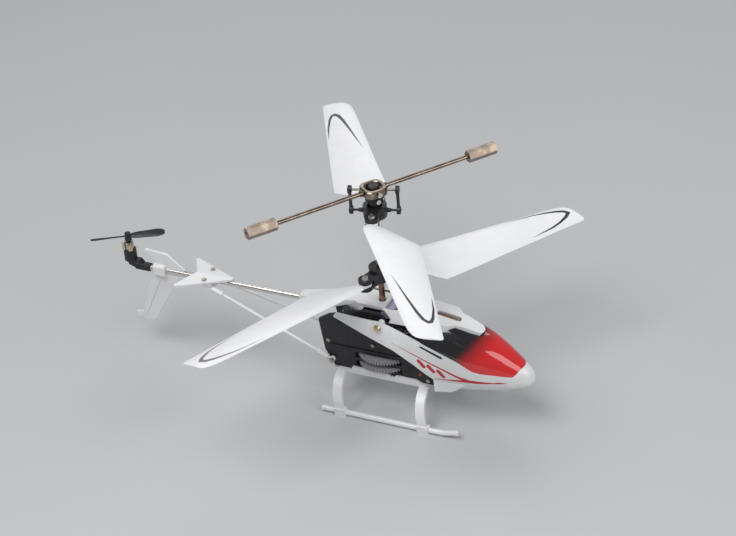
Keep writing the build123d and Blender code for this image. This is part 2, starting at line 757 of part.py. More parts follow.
with BuildPart() as tail_rotor:
    with BuildSketch(Plane.XY.offset(50.5)):
        with Locations((TAIL_X, 0)):
            Circle(0.4)
    extrude(amount=5.0)
    with BuildSketch(Plane.XY.offset(54.6)):
        with Locations((TAIL_X, 0)):
            Circle(1.6)
    extrude(amount=3.4, taper=6)
    for turn in (0, 180):
        azimuth = TAIL_ROTOR_AZ + turn
        out = Vector(*polar(1, azimuth))
        side_dir = Vector(-out.Y, out.X, 0)
        # distance from the hub, chord and pitch of each section
        tip = TAIL_ROTOR_R
        sections = ((0.9, 1.5, 34), (5.0, 3.2, 30), (10.5, 3.9, 24), (tip - 1.2, 3.4, 20), (tip, 1.8, 20))
        for reach, chord, pitch in sections:
            pitched = side_dir * cos(radians(pitch)) + Vector(0, 0, sin(radians(pitch)))
            centre = Vector(TAIL_X, 0, TAIL_ROTOR_Z - 0.3) + out * reach
            section = Plane(origin=centre, x_dir=pitched, z_dir=out)
            with BuildSketch(section):
                Ellipse(chord / 2, 0.35)
        loft()
finish(tail_rotor, "tail_rotor")

# ---- Landing gear ----
with BuildPart() as belly_tray:
    with BuildSketch(Plane.XY.offset(BELLY_Z - 1.5)):
        RectangleRounded(44.5, 19.4, 1.5)
    extrude(amount=1.5)
    # side rails that stand up outside the plates, with a notch between their two lengths
    for side in (-1, 1):
        with BuildSketch(Plane.XZ.offset(-side * (PLATE_OUT + 0.1))):
            Polygon((-13.0, 15.4), (-12.0, 18.2), (4.4, 18.2), (5.4, 17.0), (7.0, 17.0),
                    (8.0, 17.9), (17.0, 17.9),
                    (20.5, 16.4), (20.5, 15.4), align=None)
        extrude(amount=-side * 1.1)
finish(belly_tray, "belly_tray")



def leg(side, foot_x):
    """One bowed strap leg, raked forward, with the block that holds the skid tube."""
    with BuildPart() as strap:
        with BuildSketch(Plane.YZ.offset(foot_x - LEG_RAKE - LEG_WIDE / 2)):
            with BuildLine():
                ThreePointArc((side * 8.6, 14.95), (side * 16.2, 10.9), (side * 19.0, 2.0))
                Line((side * 19.0, 2.0), (side * 20.2, 2.0))
                ThreePointArc((side * 20.2, 2.0), (side * 17.4, 11.5), (side * 9.75, 15.9))
                Polyline((side * 9.75, 15.9), (side * 9.75, 14.95), (side * 8.6, 14.95))
            make_face()
        extrude(amount=LEG_WIDE + LEG_RAKE)
        with BuildSketch(Plane.XZ):
            Polygon(
                (foot_x - LEG_RAKE - LEG_WIDE / 2, 16.5),
                (foot_x - LEG_RAKE + LEG_WIDE / 2, 16.5),
                (foot_x + LEG_WIDE / 2, 1.0),
                (foot_x - LEG_WIDE / 2, 1.0),
                align=None,
            )
        extrude(amount=30, both=True, mode=Mode.INTERSECT)
        with BuildSketch(Plane.XY):
            with Locations((foot_x, side * TRACK)):
                RectangleRounded(5.2, 3.3, 0.5)
        extrude(amount=3.2)
        with BuildSketch(Plane.YZ.offset(foot_x - 5)):
            with Locations((side * TRACK, SKID_Z)):
                Circle(SKID_R)
        extrude(amount=10, mode=Mode.SUBTRACT)
    return strap.part


for side, name in ((-1, "right_legs"), (1, "left_legs")):
    with BuildPart() as legs:
        for foot_x in FEET_X:
            add(leg(side, foot_x))
    finish(legs, name)

for side, name in ((-1, "right_skid"), (1, "left_skid")):
    with BuildPart() as skid:
        with BuildLine():
            FilletPolyline(
                (SKID_REAR, side * TRACK, SKID_Z),
                (32.0, side * TRACK, SKID_Z),
                (SKID_FRONT, side * TRACK, SKID_Z + 1.6),
                radius=12,
            )
        with BuildSketch(Plane(origin=(SKID_REAR, side * TRACK, SKID_Z), z_dir=(1, 0, 0))):
            Circle(SKID_R)
        sweep()
        fillet(skid.edges().filter_by(GeomType.CIRCLE).sort_by(Axis.X)[0], radius=0.5)
        fillet(skid.edges().filter_by(GeomType.CIRCLE).sort_by(Axis.X)[-1], radius=0.5)
    finish(skid, name)


# ---- Rotor blades ----
def blade(hub_z, grip_az, swing, lead_side):
    """A moulded blade on its grip screw.

    lead_side is +1 where the leading edge lies anticlockwise of the blade, seen from above, and -1 otherwise.
    """
    pivot = Vector(*polar(GRIP_R, grip_az, hub_z))
    out = Vector(*polar(1, grip_az + swing))
    lead = Vector(-out.Y, out.X, 0) * lead_side
    # distance from the screw, leading edge and trailing edge
    stations = (
        (3.6, 2.9, -2.7),
        (6.0, 4.3, -5.2),
        (9.0, 4.5, -10.4),
        (12.5, 4.2, -15.4),
        (16.5, 3.9, -17.0),
        (22.0, 3.5, -16.8),
        (82.8, -0.8, -13.2),
        (BLADE_LENGTH - 0.4, -1.4, -12.7),
        (BLADE_LENGTH, -2.4, -11.8),
    )
    with BuildPart() as wing:
        for reach, front, back in stations:
            pitch = ROOT_PITCH + (TIP_PITCH - ROOT_PITCH) * reach / BLADE_LENGTH
            chordwise = lead * cos(radians(pitch)) + Vector(0, 0, sin(radians(pitch)))
            normal_z = out.cross(chordwise).Z
            up = 1 if normal_z > 0 else -1
            camber = up * 0.05 * (front - back)
            thick = up * (BLADE_T - 0.15 * reach / BLADE_LENGTH)
            middle = (front + back) / 2
            with BuildSketch(Plane(origin=pivot + out * reach, x_dir=chordwise, z_dir=out)):
                with BuildLine():
                    ThreePointArc((back, -thick / 4), (middle, camber - thick / 2), (front, -thick / 2))
                    Line((front, -thick / 2), (front, thick / 2))
                    ThreePointArc((front, thick / 2), (middle, camber + thick / 2), (back, thick / 4))
                    Line((back, thick / 4), (back, -thick / 4))
                make_face()
        loft(ruled=True)
        # root tab held in the grip
        with BuildSketch(Plane(origin=pivot, x_dir=out, z_dir=(0, 0, 1)).offset(-BLADE_TAB_T / 2)):
            Circle(2.6)
            with Locations((2.4, 0)):
                Rectangle(4.8, 4.6)
            Circle(BLADE_SCREW_R + FIT, mode=Mode.SUBTRACT)
        extrude(amount=BLADE_TAB_T)
    return wing


for index, swing in enumerate(LOW_SWING):
    turn = 180 * index
    finish(blade(LOW_ROTOR_Z, LOW_GRIP_AZ + turn, swing, 1), f"lower_blade_{index + 1}")
for index, swing in enumerate(UP_SWING):
    turn = 180 * index
    finish(blade(UP_ROTOR_Z, UP_GRIP_AZ + turn, swing, -1), f"upper_blade_{index + 1}")


def grip_arms(hub_z, grip_az, arm_root):
    """Two blade grips on arms from the hub."""
    with BuildPart() as arms:
        for turn in (0, 180):
            with BuildSketch(mast_plane(hub_z - GRIP_HALF_H, grip_az + turn)):
                with Locations((GRIP_R, 0)):
                    Circle(GRIP_END_R)
                with Locations(((GRIP_R + arm_root) / 2, 0)):
                    Rectangle(GRIP_R - arm_root, 4.6)
            extrude(amount=2 * GRIP_HALF_H)
    return arms.part


def grip_slots(hub_z, grip_az):
    """The space of the blade slots and screw holes through both grips."""
    with BuildPart() as slots:
        for turn in (0, 180):
            azimuth = grip_az + turn
            with BuildSketch(mast_plane(hub_z - BLADE_SLOT / 2, azimuth)):
                with Locations((GRIP_R + 2.0, 0)):
                    Rectangle(2 * (2.0 + 2.95), 8.0)
            extrude(amount=BLADE_SLOT)
            with BuildSketch(mast_plane(hub_z - GRIP_HALF_H, azimuth)):
                with Locations((GRIP_R, 0)):
                    Circle(BLADE_SCREW_R)
            extrude(amount=2 * GRIP_HALF_H)
    return slots.part


def grip_screws(hub_z, grip_az):
    """Two pan-head blade screws."""
    with BuildPart() as screws:
        for turn in (0, 180):
            azimuth = grip_az + turn
            with BuildSketch(mast_plane(hub_z - GRIP_HALF_H, azimuth)):
                with Locations((GRIP_R, 0)):
                    Circle(BLADE_SCREW_R)
            extrude(amount=2 * GRIP_HALF_H)
            with BuildSketch(mast_plane(hub_z + GRIP_HALF_H, azimuth)):
                with Locations((GRIP_R, 0)):
                    Circle(1.5)
            extrude(amount=0.8, taper=20)
            with BuildSketch(mast_plane(hub_z + GRIP_HALF_H + 0.4, azimuth)):
                with Locations((GRIP_R, 0)):
                    Rectangle(1.7, 0.4)
                    Rectangle(0.4, 1.7)
            extrude(amount=0.6, mode=Mode.SUBTRACT)
    return screws


# ---- Lower rotor: hollow shaft, gear and hub ----
OUTER_SHAFT_TOP = LOW_ROTOR_Z + 5.2
with BuildPart() as outer_shaft:
    with BuildSketch(Plane.XY.offset(UP_GEAR_Z - 0.6)):
        Circle(OUTER_SHAFT_R)
        Circle(INNER_SHAFT_R + FIT, mode=Mode.SUBTRACT)
    extrude(amount=OUTER_SHAFT_TOP - UP_GEAR_Z + 0.6)
finish(outer_shaft, "outer_shaft")

for name, gear_z, shaft_r, boss_top in (
    ("upper_main_gear", UP_GEAR_Z, OUTER_SHAFT_R, UP_GEAR_Z + GEAR_THICK + 1.4),
    ("lower_main_gear", LOW_GEAR_Z, INNER_SHAFT_R, LOW_GEAR_Z + GEAR_THICK + 1.2),
):
    with BuildPart() as main_gear:
        with BuildSketch(Plane.XY.offset(gear_z)):
            gear_profile(MAIN_TEETH, 180 / MAIN_TEETH)
            with PolarLocations(6.6, 6):
                Circle(1.7, mode=Mode.SUBTRACT)
        extrude(amount=GEAR_THICK)
        with BuildSketch(Plane.XY.offset(gear_z)):
            Circle(2.6)
        extrude(amount=boss_top - gear_z)
        with BuildSketch(Plane.XY.offset(gear_z)):
            Circle(shaft_r)
        extrude(amount=6, mode=Mode.SUBTRACT)
    finish(main_gear, name)

with BuildPart() as lower_hub:
    with BuildSketch(Plane.XY.offset(LOW_ROTOR_Z - 3.2)):
        Circle(3.0)
    extrude(amount=6.8)
    with BuildSketch(Plane.XY.offset(LOW_ROTOR_Z + 2.2)):
        Circle(4.7)
    extrude(amount=1.6)
    add(grip_arms(LOW_ROTOR_Z, LOW_GRIP_AZ, 1.0))
    add(grip_slots(LOW_ROTOR_Z, LOW_GRIP_AZ), mode=Mode.SUBTRACT)
    with BuildSketch(Plane.XY.offset(LOW_ROTOR_Z - 4)):
        Circle(OUTER_SHAFT_R)
    extrude(amount=10, mode=Mode.SUBTRACT)
finish(lower_hub, "lower_hub")
finish(grip_screws(LOW_ROTOR_Z, LOW_GRIP_AZ), "lower_grip_screws")

# ---- Upper rotor: solid shaft, head, feathering yoke ----
HEAD_R = 2.4
HEAD_TOP = FLYBAR_Z + 2.2
YOKE_IN_R = 3.1
with BuildPart() as inner_shaft:
    with BuildSketch(Plane.XY.offset(BELLY_Z + 0.2)):
        Circle(INNER_SHAFT_R)
    extrude(amount=HEAD_TOP - 1.0 - BELLY_Z - 0.2)
finish(inner_shaft, "inner_shaft")

TRUNNION_R = 0.7
PIVOT_R = 0.6
with BuildPart() as rotor_head:
    with BuildSketch(Plane.XY.offset(UP_ROTOR_Z - 4.4)):
        Circle(HEAD_R)
    extrude(amount=HEAD_TOP - UP_ROTOR_Z + 4.4)
    fillet(rotor_head.edges().filter_by(GeomType.CIRCLE).sort_by(Axis.Z)[-1], radius=0.6)
    # shoulder between the yoke and the bar
    with BuildSketch(mast_plane(UP_ROTOR_Z + 4.2, FLYBAR_AZ)):
        RectangleRounded(5.6, 6.6, 0.8)
    extrude(amount=2.6)
    with BuildSketch(Plane.XY.offset(UP_ROTOR_Z - 5)):
        Circle(INNER_SHAFT_R)
    extrude(amount=HEAD_TOP - 1.0 - UP_ROTOR_Z + 5, mode=Mode.SUBTRACT)
    # sockets of the bar's pivot screws
    for turn in (-90, 90):
        with BuildSketch(radial_plane(HEAD_R - 0.4, FLYBAR_AZ + turn, FLYBAR_Z)):
            Circle(PIVOT_R)
        extrude(amount=2, mode=Mode.SUBTRACT)
    # bearing holes of the yoke trunnions
    with BuildSketch(radial_plane(-4, UP_GRIP_AZ, UP_ROTOR_Z)):
        Circle(TRUNNION_R + FIT)
    extrude(amount=8, mode=Mode.SUBTRACT)
finish(rotor_head, "rotor_head")

with BuildPart() as head_screws:
    # clamp screw under the bar, and the two pivot screws that carry the bar's ring
    with BuildSketch(radial_plane(3.3, FLYBAR_AZ - 90, UP_ROTOR_Z + 5.5)):
        Circle(1.0)
    extrude(amount=0.7)
    for turn in (-90, 90):
        with BuildSketch(radial_plane(HEAD_R - 0.4, FLYBAR_AZ + turn, FLYBAR_Z)):
            Circle(PIVOT_R)
        extrude(amount=RING_WIDE / 2 + 0.3 - HEAD_R + 0.4)
        with BuildSketch(radial_plane(RING_WIDE / 2 + 0.25, FLYBAR_AZ + turn, FLYBAR_Z)):
            Circle(1.0)
        extrude(amount=0.7)
finish(head_screws, "head_screws")

with BuildPart() as upper_yoke:
    with BuildSketch(Plane.XY.offset(UP_ROTOR_Z - GRIP_HALF_H)):
        Circle(4.9)
    extrude(amount=2 * GRIP_HALF_H)
    add(grip_arms(UP_ROTOR_Z, UP_GRIP_AZ, 4.0))
    with BuildSketch(Plane.XY.offset(UP_ROTOR_Z - 4)):
        Circle(YOKE_IN_R)
    extrude(amount=8, mode=Mode.SUBTRACT)
    add(grip_slots(UP_ROTOR_Z, UP_GRIP_AZ), mode=Mode.SUBTRACT)
    for turn in (0, 180):
        # trunnions into the head
        with BuildSketch(radial_plane(INNER_SHAFT_R + 0.35, UP_GRIP_AZ + turn, UP_ROTOR_Z)):
            Circle(TRUNNION_R)
        extrude(amount=3.4)
        # ear arm and its ball
        with BuildSketch(radial_plane(4.6, LINK_AZ + turn, UP_ROTOR_Z)):
            Circle(0.5)
        extrude(amount=LINK_R - 4.6)
        with BuildSketch(radial_plane(4.4, LINK_AZ + turn, UP_ROTOR_Z)):
            Circle(1.1)
        extrude(amount=2.2, taper=8)
        with Locations(polar(LINK_R, LINK_AZ + turn, UP_ROTOR_Z)):
            Sphere(BALL_R)
finish(upper_yoke, "upper_yoke")
finish(grip_screws(UP_ROTOR_Z, UP_GRIP_AZ), "upper_grip_screws")

# ---- Stabiliser bar ----
with BuildPart() as flybar_ring:
    with BuildSketch(mast_plane(FLYBAR_Z - RING_HIGH / 2, FLYBAR_AZ)):
        RectangleRounded(RING_WIDE, RING_WIDE, 3.0)
        RectangleRounded(RING_OPEN, RING_OPEN, 2.4, mode=Mode.SUBTRACT)
    extrude(amount=RING_HIGH)
    chamfer(flybar_ring.faces().filter_by(Axis.Z).edges(), length=0.35)
    for turn in (0, 180):
        # bosses for the rods, and studs with balls for the links
        with BuildSketch(radial_plane(RING_WIDE / 2 - 0.6, FLYBAR_AZ + turn, FLYBAR_Z)):
            Circle(1.3)
        extrude(amount=1.8)
        with BuildSketch(radial_plane(RING_WIDE / 2 - 0.9, LINK_AZ + turn, FLYBAR_Z)):
            Circle(0.5)
        extrude(amount=LINK_R - RING_WIDE / 2 + 0.9)
        with Locations(polar(LINK_R, LINK_AZ + turn, FLYBAR_Z)):
            Sphere(BALL_R)
    # holes for the pivot screws
    with BuildSketch(radial_plane(-10, FLYBAR_AZ + 90, FLYBAR_Z)):
        Circle(PIVOT_R + FIT)
    extrude(amount=20, mode=Mode.SUBTRACT)
    with BuildSketch(radial_plane(-10, FLYBAR_AZ, FLYBAR_Z)):
        Circle(FLYBAR_R)
    extrude(amount=20, mode=Mode.SUBTRACT)
finish(flybar_ring, "flybar_ring")

with BuildPart() as flybar_rods:
    for turn in (0, 180):
        with BuildSketch(radial_plane(RING_OPEN / 2 + 0.1, FLYBAR_AZ + turn, FLYBAR_Z)):
            Circle(FLYBAR_R)
        extrude(amount=FLYBAR_REACH - RING_OPEN / 2 - 0.4)
finish(flybar_rods, "flybar_rods")

with BuildPart() as flybar_weights:
    for turn in (0, 180):
        with BuildSketch(radial_plane(FLYBAR_REACH - WEIGHT_LENGTH, FLYBAR_AZ + turn, FLYBAR_Z)):
            RegularPolygon(WEIGHT_ACROSS / 2, 6, major_radius=False)
        extrude(amount=WEIGHT_LENGTH)
        with BuildSketch(radial_plane(FLYBAR_REACH - WEIGHT_LENGTH - 1, FLYBAR_AZ + turn, FLYBAR_Z)):
            Circle(FLYBAR_R)
        extrude(amount=WEIGHT_LENGTH + 2, mode=Mode.SUBTRACT)
finish(flybar_weights, "flybar_weights")

for turn, name in ((0, "pitch_link_1"), (180, "pitch_link_2")):
    with BuildPart() as link:
        for eye_z in (UP_ROTOR_Z, FLYBAR_Z):
            with BuildSketch(radial_plane(LINK_R - 0.7, LINK_AZ + turn, eye_z)):
                Circle(EYE_R)
            extrude(amount=1.4)
        rod_foot = polar(LINK_R, LINK_AZ + turn, UP_ROTOR_Z + 1.5)
        with BuildSketch(Plane(origin=rod_foot, x_dir=polar(1, LINK_AZ))):
            Rectangle(1.2, 1.0)
        extrude(amount=FLYBAR_Z - UP_ROTOR_Z - 3.0)
        for eye_z in (UP_ROTOR_Z, FLYBAR_Z):
            with BuildSketch(radial_plane(LINK_R - 2, LINK_AZ + turn, eye_z)):
                Circle(EYE_HOLE_R)
            extrude(amount=4, mode=Mode.SUBTRACT)
    finish(link, name)
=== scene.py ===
import json
import math

import bmesh
import bpy
import numpy as np
from mathutils import Matrix, Vector


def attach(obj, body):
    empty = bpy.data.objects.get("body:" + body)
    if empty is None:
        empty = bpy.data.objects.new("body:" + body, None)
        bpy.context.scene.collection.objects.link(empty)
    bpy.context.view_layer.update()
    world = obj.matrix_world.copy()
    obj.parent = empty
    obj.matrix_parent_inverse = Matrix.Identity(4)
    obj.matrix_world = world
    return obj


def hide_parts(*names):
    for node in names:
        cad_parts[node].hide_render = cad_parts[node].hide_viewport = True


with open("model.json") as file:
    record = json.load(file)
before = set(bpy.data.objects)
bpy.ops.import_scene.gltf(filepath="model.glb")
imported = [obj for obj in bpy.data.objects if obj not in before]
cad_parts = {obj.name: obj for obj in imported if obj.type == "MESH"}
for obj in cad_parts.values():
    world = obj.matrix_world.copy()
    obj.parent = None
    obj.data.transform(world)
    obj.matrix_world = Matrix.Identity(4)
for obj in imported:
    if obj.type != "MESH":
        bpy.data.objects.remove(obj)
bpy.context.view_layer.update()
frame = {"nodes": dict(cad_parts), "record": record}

MM = 0.001
nodes = frame["nodes"]


# ---------------------------------------------------------------- small helpers
def turn(azimuth):
    """Unit vector in plan at an azimuth in degrees."""
    a = math.radians(azimuth)
    return np.array([math.cos(a), math.sin(a), 0.0])


def smooth_through(points, x):
    """Monotone cubic through (x, value) points."""
    px = np.array([p[0] for p in points], float)
    py = np.array([p[1] for p in points], float)
    h = np.diff(px)
    d = np.diff(py) / h
    m = np.zeros(len(px))
    m[0], m[-1] = d[0], d[-1]
    for i in range(1, len(px) - 1):
        if d[i - 1] * d[i] > 0:
            w1, w2 = 2 * h[i] + h[i - 1], h[i] + 2 * h[i - 1]
            m[i] = (w1 + w2) / (w1 / d[i - 1] + w2 / d[i])
    x = np.clip(x, px[0], px[-1])
    i = np.clip(np.searchsorted(px, x) - 1, 0, len(px) - 2)
    t = (x - px[i]) / h[i]
    return (
        (2 * t**3 - 3 * t**2 + 1) * py[i]
        + (t**3 - 2 * t**2 + t) * h[i] * m[i]
        + (-2 * t**3 + 3 * t**2) * py[i + 1]
        + (t**3 - t**2) * h[i] * m[i + 1]
    )


def mesh_piece(name, verts, faces, uvs=None, flat=False):
    """New mesh object from points in millimetres."""
    mesh = bpy.data.meshes.new(name)
    mesh.from_pydata([tuple(MM * c for c in v) for v in verts], [], faces)
    mesh.update()
    if uvs is not None:
        layer = mesh.uv_layers.new(name="marks")
        for loop in mesh.loops:
            layer.data[loop.index].uv = uvs[loop.vertex_index]
    for poly in mesh.polygons:
        poly.use_smooth = not flat
    piece = bpy.data.objects.new(name, mesh)
    bpy.context.scene.collection.objects.link(piece)
    return piece


def grid_faces(rows, columns, base=0):
    """Quads of a rows x columns grid of vertices, row by row."""
    return [
        (base + r * columns + c, base + r * columns + c + 1,
         base + (r + 1) * columns + c + 1, base + (r + 1) * columns + c)
        for r in range(rows - 1)
        for c in range(columns - 1)
    ]


def recalc_normals(piece):
    """Faces all point outwards."""
    work = bmesh.new()
    work.from_mesh(piece.data)
    bmesh.ops.remove_doubles(work, verts=work.verts, dist=1e-6)
    bmesh.ops.recalc_face_normals(work, faces=work.faces)
    work.to_mesh(piece.data)
    work.free()


def plate_faces(count):
    """Two ends and the sides between two loops of count vertices."""
    ends = [tuple(range(count))[::-1], tuple(range(count, 2 * count))]
    return ends + [(k, (k + 1) % count, count + (k + 1) % count, count + k) for k in range(count)]


def prism(name, outline, low, high):
    """Flat plate from an outline in x and z, between two y values."""
    verts = [(x, y, z) for y in (low, high) for x, z in outline]
    piece = mesh_piece(name, verts, plate_faces(len(outline)), flat=True)
    recalc_normals(piece)
    return piece


def modify(piece, kind, **settings):
    """One modifier with its settings."""
    modifier = piece.modifiers.new(kind.lower(), kind)
    for key, value in settings.items():
        setattr(modifier, key, value)


def soften(piece, width, angle=32, segments=2):
    """Small rounded edge where faces meet at more than the angle."""
    modify(piece, "BEVEL", width=width * MM, segments=segments, limit_method="ANGLE",
           angle_limit=math.radians(angle), harden_normals=True, use_clamp_overlap=True)


def dress(piece, material, body, replaces=None):
    """Material, body and the CAD node that the piece stands for, if any."""
    piece.data.materials.append(material)
    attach(piece, body)
    if replaces:
        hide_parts(replaces)


# ---------------------------------------------------------------- materials
class Shader:
    """A thin wrapper that keeps node wiring short."""

    def __init__(self, name):
        self.material = bpy.data.materials.new(name)
        self.material.use_nodes = True
        self.tree = self.material.node_tree
        self.tree.nodes.clear()
        self.out = self.tree.nodes.new("ShaderNodeOutputMaterial")
        self.bsdf = self.tree.nodes.new("ShaderNodeBsdfPrincipled")
        self.tree.links.new(self.bsdf.outputs[0], self.out.inputs["Surface"])
        self.place = self.tree.nodes.new("ShaderNodeTexCoord")

    def put(self, socket, value):
        """Sets a constant, or links an output, into a socket."""
        if isinstance(value, bpy.types.NodeSocket):
            self.tree.links.new(value, socket)
        elif isinstance(value, (tuple, list)) and len(value) == 3 and socket.type == "RGBA":
            socket.default_value = (*value, 1.0)
        else:
            socket.default_value = value

    def base(self, **sockets):
        """Sets or links inputs of the surface shader, with _ for a space in their names."""
        for key, value in sockets.items():
            self.put(self.bsdf.inputs[key.replace("_", " ")], value)

    def math(self, operation, *values):
        """Output of one math node."""
        node = self.tree.nodes.new("ShaderNodeMath")
        node.operation = operation
        for i, value in enumerate(values):
            self.put(node.inputs[i], value)
        return node.outputs[0]

    def ramp(self, value, low, high, out_low=0.0, out_high=1.0):
        """Smooth step from out_low at low to out_high at high."""
        node = self.tree.nodes.new("ShaderNodeMapRange")
        node.interpolation_type = "SMOOTHSTEP"
        self.put(node.inputs["Value"], value)
        node.inputs["From Min"].default_value = low
        node.inputs["From Max"].default_value = high
        node.inputs["To Min"].default_value = out_low
        node.inputs["To Max"].default_value = out_high
        return node.outputs[0]

    def mix(self, factor, a, b):
        """Colour a at factor 0, b at factor 1."""
        node = self.tree.nodes.new("ShaderNodeMix")
        node.data_type = "RGBA"
        self.put(node.inputs[0], factor)
        self.put(node.inputs[6], a)
        self.put(node.inputs[7], b)
        return node.outputs[2]

    def axes(self):
        """Object coordinates in millimetres."""
        scale = self.tree.nodes.new("ShaderNodeVectorMath")
        scale.operation = "SCALE"
        self.tree.links.new(self.place.outputs["Object"], scale.inputs[0])
        scale.inputs["Scale"].default_value = 1 / MM
        parts = self.tree.nodes.new("ShaderNodeSeparateXYZ")
        self.tree.links.new(scale.outputs[0], parts.inputs[0])
        return parts.outputs

    def marks(self):
        """The piece's own flat coordinates."""
        node = self.tree.nodes.new("ShaderNodeUVMap")
        node.uv_map = "marks"
        parts = self.tree.nodes.new("ShaderNodeSeparateXYZ")
        self.tree.links.new(node.outputs[0], parts.inputs[0])
        return parts.outputs

    def noise(self, scale, detail, stretch=None):
        """Noise in object coordinates, with its own scale along each axis if stretch is given."""
        node = self.tree.nodes.new("ShaderNodeTexNoise")
        node.inputs["Scale"].default_value = scale
        node.inputs["Detail"].default_value = detail
        source = self.place.outputs["Object"]
        if stretch:
            mapping = self.tree.nodes.new("ShaderNodeMapping")
            mapping.inputs["Scale"].default_value = stretch
            self.tree.links.new(source, mapping.inputs[0])
            source = mapping.outputs[0]
        self.tree.links.new(source, node.inputs["Vector"])
        return node.outputs[0]

    def bump(self, height, strength, distance):
        """Surface relief from a height, over a distance in millimetres."""
        node = self.tree.nodes.new("ShaderNodeBump")
        node.inputs["Strength"].default_value = strength
        node.inputs["Distance"].default_value = distance * MM
        self.tree.links.new(height, node.inputs["Height"])
        self.tree.links.new(node.outputs[0], self.bsdf.inputs["Normal"])

    def line_mask(self, u, v, points, width, soft):
        """1 on a polyline of (u, v, half width scale) points, 0 away from it."""
        masks = None
        for (u0, v0, w0), (u1, v1, w1) in zip(points, points[1:]):
            length2 = (u1 - u0) ** 2 + (v1 - v0) ** 2
            du = self.math("SUBTRACT", u, u0)
            dv = self.math("SUBTRACT", v, v0)
            dot = self.math("ADD", self.math("MULTIPLY", du, (u1 - u0) / length2),
                            self.math("MULTIPLY", dv, (v1 - v0) / length2))
            t = self.math("MINIMUM", self.math("MAXIMUM", dot, 0.0), 1.0)
            eu = self.math("SUBTRACT", du, self.math("MULTIPLY", t, u1 - u0))
            ev = self.math("SUBTRACT", dv, self.math("MULTIPLY", t, v1 - v0))
            far = self.math("SQRT", self.math("ADD", self.math("MULTIPLY", eu, eu),
                                              self.math("MULTIPLY", ev, ev)))
            reach = self.math("ADD", self.math("MULTIPLY", t, width * (w1 - w0)), width * w0)
            inside = self.ramp(self.math("SUBTRACT", far, reach), soft, -soft)
            masks = inside if masks is None else self.math("MAXIMUM", masks, inside)
        return masks


def plastic(name, colour, roughness, grain, coat=0.0, shade=0.04, subsurface=0.0):
    """Moulded plastic: faint cloudy colour, fine moulded grain and uneven gloss."""
    s = Shader(name)
    cloud = s.ramp(s.noise(90, 4), 0.35, 0.68)
    darker = tuple(c * (1 - shade) for c in colour)
    s.base(Base_Color=s.mix(cloud, darker, colour),
           Roughness=s.ramp(s.noise(260, 3), 0.3, 0.7, roughness * 0.85, roughness * 1.2))
    s.bsdf.inputs["Coat Weight"].default_value = coat
    s.bsdf.inputs["Coat Roughness"].default_value = 0.12
    s.bsdf.inputs["Subsurface Weight"].default_value = subsurface
    s.bsdf.inputs["Subsurface Scale"].default_value = 0.0012
    s.bump(s.noise(2600, 2), grain, 0.05)
    return s.material


def metal(name, colour, roughness, brush, tarnish):
    """Plated or turned metal: fine brushed streaks with patches of duller plating."""
    s = Shader(name)
    dull = tuple(c * (1 - tarnish) for c in colour)
    patch = s.ramp(s.noise(240, 5), 0.38, 0.66)
    streak = s.noise(1500, 4, brush)
    s.base(Base_Color=s.mix(patch, dull, colour),
           Roughness=s.math("ADD", s.ramp(streak, 0.3, 0.7, 0.0, 0.14), roughness * 0.75))
    s.bsdf.inputs["Metallic"].default_value = 1.0
    s.bump(streak, 0.12, 0.03)
    return s.material


WHITE = (0.80, 0.80, 0.80)
INK = (0.018, 0.018, 0.02)
RED = (0.52, 0.012, 0.018)

materials = {
    "white_plastic": plastic("white_plastic", WHITE, 0.33, 0.05, 0.15, subsurface=0.04),
    "black_plastic": plastic("black_plastic", (0.014, 0.014, 0.016), 0.42, 0.22, 0.0, 0.3),
    "gear_plastic": plastic("gear_plastic", (0.36, 0.36, 0.37), 0.38, 0.08, subsurface=0.1),
    "clear_plastic": plastic("clear_plastic", (0.42, 0.38, 0.50), 0.2, 0.08, 0.4, 0.3, 0.2),
    "polished_steel": metal("polished_steel", (0.74, 0.71, 0.67), 0.2, (0.02, 2.0, 2.0), 0.08),
    "dark_nickel": metal("dark_nickel", (0.30, 0.24, 0.19), 0.18, (2.0, 2.0, 6.0), 0.4),
    "bronze": metal("bronze", (0.33, 0.205, 0.155), 0.26, (0.3, 5.0, 5.0), 0.35),
    "brass": metal("brass", (0.72, 0.58, 0.36), 0.22, (3.0, 3.0, 3.0), 0.3),
    "motor_can": metal("motor_can", (0.52, 0.52, 0.53), 0.28, (1.0, 1.0, 9.0), 0.25),
    "battery_wrap": plastic("battery_wrap", (0.30, 0.32, 0.36), 0.3, 0.4, 0.3, 0.25),
    "led_cream": plastic("led_cream", (0.74, 0.66, 0.46), 0.12, 0.02, 0.6, 0.1, 0.2),
    "led_red": plastic("led_red", (0.42, 0.012, 0.015), 0.12, 0.02, 0.6, 0.2, 0.2),
}


def board_material():
    """Green solder mask with paler copper runs and pads."""
    s = Shader("board")
    x, _, z = s.axes()
    run_x = s.math("PINGPONG", s.math("ADD", x, s.math("MULTIPLY", z, 0.35)), 0.6)
    run_z = s.math("PINGPONG", s.math("SUBTRACT", z, s.math("MULTIPLY", x, 0.2)), 0.8)
    runs = s.math("MULTIPLY", s.ramp(run_x, 0.16, 0.1), s.ramp(s.noise(420, 1), 0.48, 0.52))
    pads = s.math("MULTIPLY", s.ramp(run_z, 0.14, 0.08), s.ramp(s.noise(300, 1), 0.5, 0.56))
    ink = s.mix(runs, (0.012, 0.10, 0.035), (0.03, 0.2, 0.07))
    s.base(Base_Color=s.mix(pads, ink, (0.5, 0.42, 0.25)), Roughness=0.35)
    s.bump(s.math("ADD", runs, pads), 0.3, 0.05)
    return s.material


materials["board"] = board_material()


